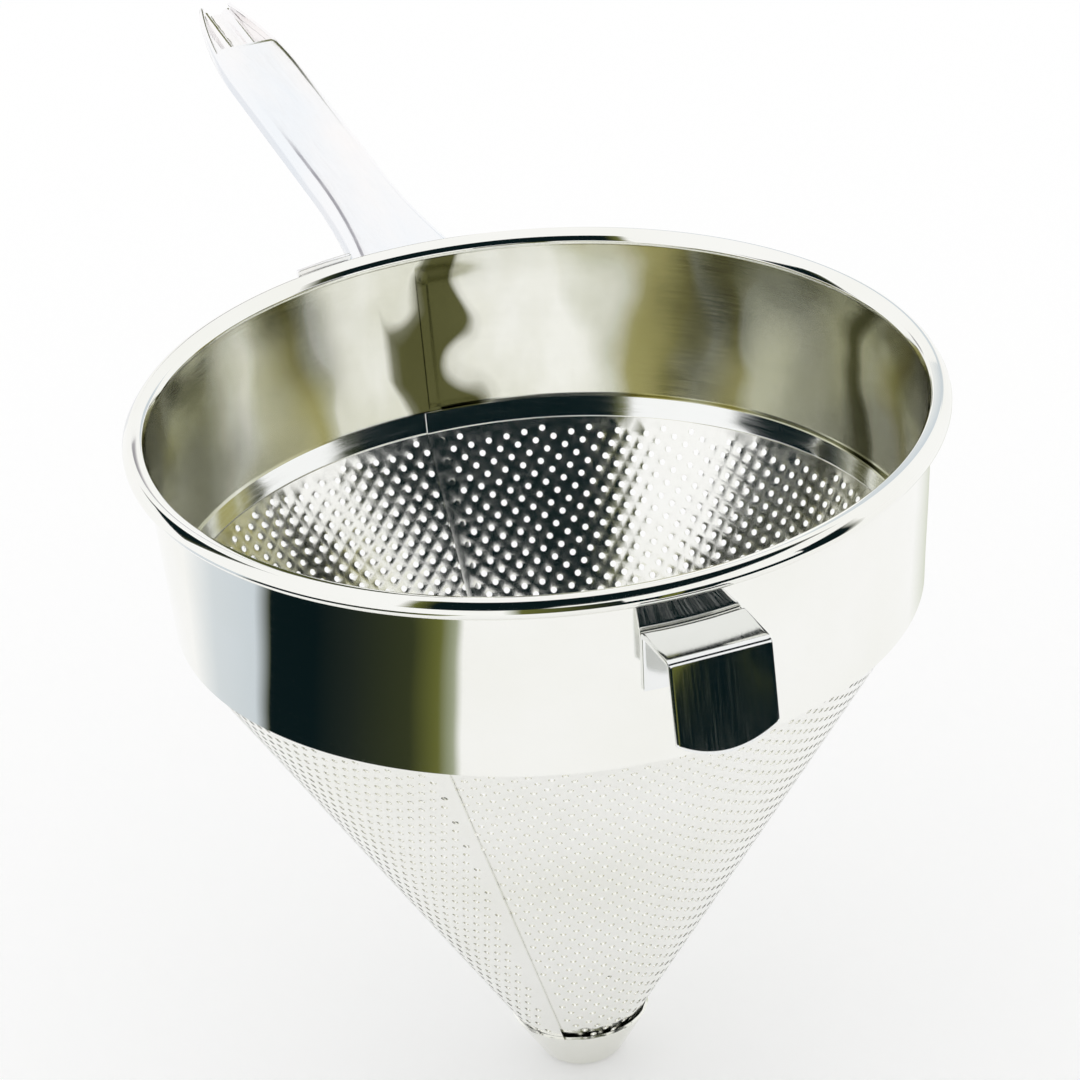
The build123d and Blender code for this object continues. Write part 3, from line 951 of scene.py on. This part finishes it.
def turned_strip(name, corners, start, end, columns):
    """Bent strip of the saddle's sheet, turned about the axis between two azimuths."""
    line, normals = refine(*bent_line(corners, saddle_bend_radius, saddle_bend_steps), saddle_step)
    azimuth = np.linspace(start, end, columns)
    layers = []
    for side in (saddle_sheet / 2, -saddle_sheet / 2):
        radius, height = (line + side * normals).T
        layers.append(around(radius[:, None], height[:, None], azimuth[None, :]).reshape(-1, 3))
    vertices, faces = closed_sheet(*layers, [grid_faces(len(line), columns)])
    piece = add_piece(name, vertices, faces, ["handle_saddle"], handle_steel)
    soften_edges(piece, handle_edge)


def make_saddle():
    """Plate round the collar under the rolled rim, and a clasp that turns out under the rim and up beside it."""
    seat = sheet_fit + saddle_sheet / 2
    middle = 90 - math.degrees(handle_offset / rim_radius)
    low = (collar_outside(saddle_bottom) + seat, saddle_bottom)
    high = (collar_outside(saddle_top) + seat, saddle_top)
    half_turn = math.degrees(saddle_width / collar_outside(saddle_top)) / 2
    turned_strip("handle_saddle_plate", [low, high], middle - half_turn, middle + half_turn, saddle_columns)
    turn = (collar_outside(clasp_turn_height) + seat, clasp_turn_height)
    elbow = (rim_radius + seat, rim_height - roll_height / 2)
    tip = (rim_radius + seat, saddle_high[2])
    start = middle + math.degrees((handle_half_width + root_flare + clasp_room) / rim_radius)
    end = start + math.degrees(clasp_width / rim_radius)
    turned_strip("handle_saddle_clasp", [low, turn, elbow, tip], start, end, clasp_columns)


make_handle_shell()
make_underplate()
make_saddle()

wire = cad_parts["rim_wire"]
wire.data.materials.clear()
wire.data.materials.append(wire_steel)


# Floor, cards, light and camera

floor_reach = 12.0
floor_gap = 0.5 * MM
floor_white = 0.8
card_columns = 41


def add_floor():
    """Pale floor just under the tip. Its own white and a little glow add to one for the camera and in reflections."""
    material, nodes, links = tree_of("studio_floor")
    nodes.remove(nodes["Principled BSDF"])
    matt = nodes.new("ShaderNodeBsdfDiffuse")
    matt.inputs["Color"].default_value = (floor_white, floor_white, floor_white, 1)
    glow = nodes.new("ShaderNodeEmission")
    path = nodes.new("ShaderNodeLightPath").outputs
    both = nodes.new("ShaderNodeAddShader")
    seen = math_on(nodes, links, "MAXIMUM", path["Is Camera Ray"], path["Is Glossy Ray"])
    seen = math_on(nodes, links, "MAXIMUM", seen, path["Is Transmission Ray"])
    links.new(math_on(nodes, links, "MULTIPLY", seen, 1 - floor_white), glow.inputs["Strength"])
    links.new(matt.outputs[0], both.inputs[0])
    links.new(glow.outputs[0], both.inputs[1])
    links.new(both.outputs[0], nodes["Material Output"].inputs["Surface"])
    level = cap_low[2] - floor_gap
    corners = [(x, y, level) for x, y in floor_reach * np.array([(-1, -1), (1, -1), (1, 1), (-1, 1)])]
    add_object("floor", corners, [(0, 1, 2, 3)], material)


def card_material(name, stops):
    """Self-lit card whose tone and cover run along it: stops are (place, tone, cover), cover 0 being nothing."""
    material, nodes, links = tree_of(name)
    nodes.remove(nodes["Principled BSDF"])
    ramp = nodes.new("ShaderNodeValToRGB")
    glow = nodes.new("ShaderNodeEmission")
    clear = nodes.new("ShaderNodeBsdfTransparent")
    mix = nodes.new("ShaderNodeMixShader")
    elements = ramp.color_ramp.elements
    for _ in stops[2:]:
        elements.new(0.5)
    for element, (spot, tone, cover) in zip(elements, stops):
        element.position = spot
        element.color = (*tone, cover)
    links.new(place_parts(nodes, links, "UV")["X"], ramp.inputs["Fac"])
    links.new(ramp.outputs["Color"], glow.inputs["Color"])
    links.new(ramp.outputs["Alpha"], mix.inputs["Fac"])
    links.new(clear.outputs[0], mix.inputs[1])
    links.new(glow.outputs[0], mix.inputs[2])
    links.new(mix.outputs[0], nodes["Material Output"].inputs["Surface"])
    return material


def add_card(name, radius, low_span, high_span, low, high, stops):
    """Part of an upright cylinder about the axis: a span of azimuths at its low edge and one at its high edge,
    with U along it and V up it. It shows in the metal's reflections and nowhere else."""
    azimuth = np.stack([np.linspace(*low_span, card_columns), np.linspace(*high_span, card_columns)])
    points = around(radius, np.array([low, high])[:, None], azimuth).reshape(-1, 3)
    card = add_object(name, points.tolist(), grid_faces(2, card_columns).tolist(), card_material(name, stops))
    layer = card.data.uv_layers.new(name="along")
    corner = np.zeros(len(card.data.loops), int)
    card.data.loops.foreach_get("vertex_index", corner)
    share = (corner % card_columns) / (card_columns - 1)
    layer.data.foreach_set("uv", np.stack([share, (corner >= card_columns).astype(float)], axis=1).ravel())
    card.visible_camera = card.visible_diffuse = card.visible_shadow = False
    card.visible_transmission = card.visible_volume_scatter = False


black = (0.0035, 0.0098, 0.0112)
deep_green = (0.014, 0.020, 0.016)
moss = (0.035, 0.042, 0.018)
olive = (0.13, 0.14, 0.035)
sage = (0.36, 0.39, 0.28)
pale_sage = (0.64, 0.67, 0.56)
blue_grey = (0.64, 0.70, 0.76)
side_grey = (0.86, 0.87, 0.89)
lilac_grey = (0.52, 0.50, 0.55)
slate = (0.36, 0.35, 0.38)
add_floor()
add_card(
    "dark_card_left", 0.300, (164.1, 226.0), (184.5, 235.5), 0.0, 0.125,
    [
        (0.0, black, 1), (0.26, black, 1), (0.45, deep_green, 1), (0.74, moss, 1), (0.87, olive, 1), (0.94, sage, 1),
        (0.975, sage, 0),
    ],
)
add_card(
    "grey_card_left", 0.300, (124.0, 164.1), (146.0, 184.5), 0.0, 0.125,
    [(0.0, blue_grey, 0), (0.4, blue_grey, 0.8), (0.85, blue_grey, 1), (1.0, moss, 1)],
)
add_card(
    "sage_card_right", 0.300, (15, 85), (15, 85), 0.0, 0.125,
    [(0.0, pale_sage, 0), (0.35, pale_sage, 0.9), (0.85, pale_sage, 1), (1.0, lilac_grey, 1)],
)
add_card(
    "dark_card_camera", 0.450, (-145, -28), (-145, -28), 0.445, 0.76,
    [(0.0, olive, 0), (0.03, olive, 1), (0.07, black, 1), (0.86, black, 1), (0.93, moss, 1), (1.0, olive, 0)],
)
add_card(
    "dark_card_camera_low", 0.450, (-145, -108), (-145, -104), 0.37, 0.445,
    [(0.0, olive, 0), (0.1, olive, 1), (0.22, black, 1), (0.9, black, 1), (1.0, olive, 0)],
)
add_card(
    "olive_card_front", 0.450, (-119, -92), (-119, -92), 0.06, 0.37,
    [(0.0, sage, 0), (0.15, olive, 1), (0.7, moss, 1), (1.0, black, 1)],
)
add_card("dark_card_front", 0.450, (-92, -48), (-92, -48), 0.06, 0.225, [(0.0, black, 1), (1.0, black, 1)])
add_card(
    "dark_card_front_right", 0.450, (-48, -28), (-48, -28), 0.06, 0.37,
    [(0.0, black, 1), (0.7, black, 1), (1.0, olive, 0)],
)
add_card(
    "dark_card_left_back", 0.450, (130, 156), (148, 182), 0.290, 0.45,
    [(0.0, moss, 0), (0.06, moss, 1), (0.2, black, 1), (0.8, black, 1), (0.95, moss, 1), (1.0, moss, 0)],
)
add_card(
    "slate_card_rim", 0.360, (85, 94), (80, 92), 0.335, 0.400,
    [(0.0, slate, 0), (0.15, slate, 1), (1.0, slate, 1)],
)
add_card(
    "blue_card_right", 0.450, (36, 70), (36, 70), 0.300, 0.460,
    [(0.0, blue_grey, 0), (0.3, blue_grey, 1), (0.8, blue_grey, 1), (1.0, blue_grey, 0)],
)
add_card(
    "olive_card_handle", 0.450, (74, 84), (74, 84), 0.250, 0.312,
    [(0.0, olive, 0), (0.2, moss, 1), (0.8, olive, 1), (1.0, olive, 1)],
)
add_card("grey_card_handle", 0.450, (94, 107), (94, 107), 0.040, 0.200, [(0.0, side_grey, 1), (1.0, side_grey, 1)])
add_card(
    "dark_card_hook", 0.270, (-86, -72), (-86, -72), 0.118, 0.232,
    [
        (0.0, olive, 1), (0.31, olive, 1), (0.35, black, 1), (0.6, black, 1), (0.63, moss, 1), (0.66, black, 1),
        (1.0, black, 1),
    ],
)


def add_world():
    """White studio light of strength one from all round."""
    world = bpy.data.worlds.new("studio_light")
    world.use_nodes = True
    background = world.node_tree.nodes["Background"].inputs
    background["Color"].default_value = (1, 1, 1, 1)
    background["Strength"].default_value = 1.0
    bpy.context.scene.world = world


camera_azimuth = math.radians(-108.3)
camera_elevation = math.radians(26.9032)
camera_distance = 1.834754
camera_roll = math.radians(-4.2882)
camera_aim = (-1.664 * MM, 0.550 * MM, -45.060 * MM)


def add_camera():
    """Camera at the photograph's viewing angle: on a sphere round the rim's centre at an azimuth and an elevation,
    aimed at a target near it and rolled a little. Its right and up vectors are the cross products with Z."""
    centre = Vector((0, 0, rim_height))
    level = math.cos(camera_elevation)
    place = centre + camera_distance * Vector(
        (level * math.cos(camera_azimuth), level * math.sin(camera_azimuth), math.sin(camera_elevation))
    )
    forward = (centre + Vector(camera_aim) - place).normalized()
    right = forward.cross(Vector((0, 0, 1))).normalized()
    up = right.cross(forward)
    rolled_right = right * math.cos(camera_roll) + up * math.sin(camera_roll)
    rolled_up = up * math.cos(camera_roll) - right * math.sin(camera_roll)
    camera = bpy.data.objects.new("photo_camera", bpy.data.cameras.new("photo_camera"))
    camera.data.sensor_width = 36.0
    camera.data.lens = 200.0
    camera.data.clip_start = 0.05
    camera.data.clip_end = 50.0
    turn = Matrix((rolled_right, rolled_up, -forward)).transposed()
    camera.matrix_world = Matrix.Translation(place) @ turn.to_4x4()
    bpy.context.scene.collection.objects.link(camera)
    bpy.context.scene.camera = camera


add_world()
add_camera()
bpy.context.scene.view_settings.view_transform = "Standard"

bpy.context.view_layer.update()
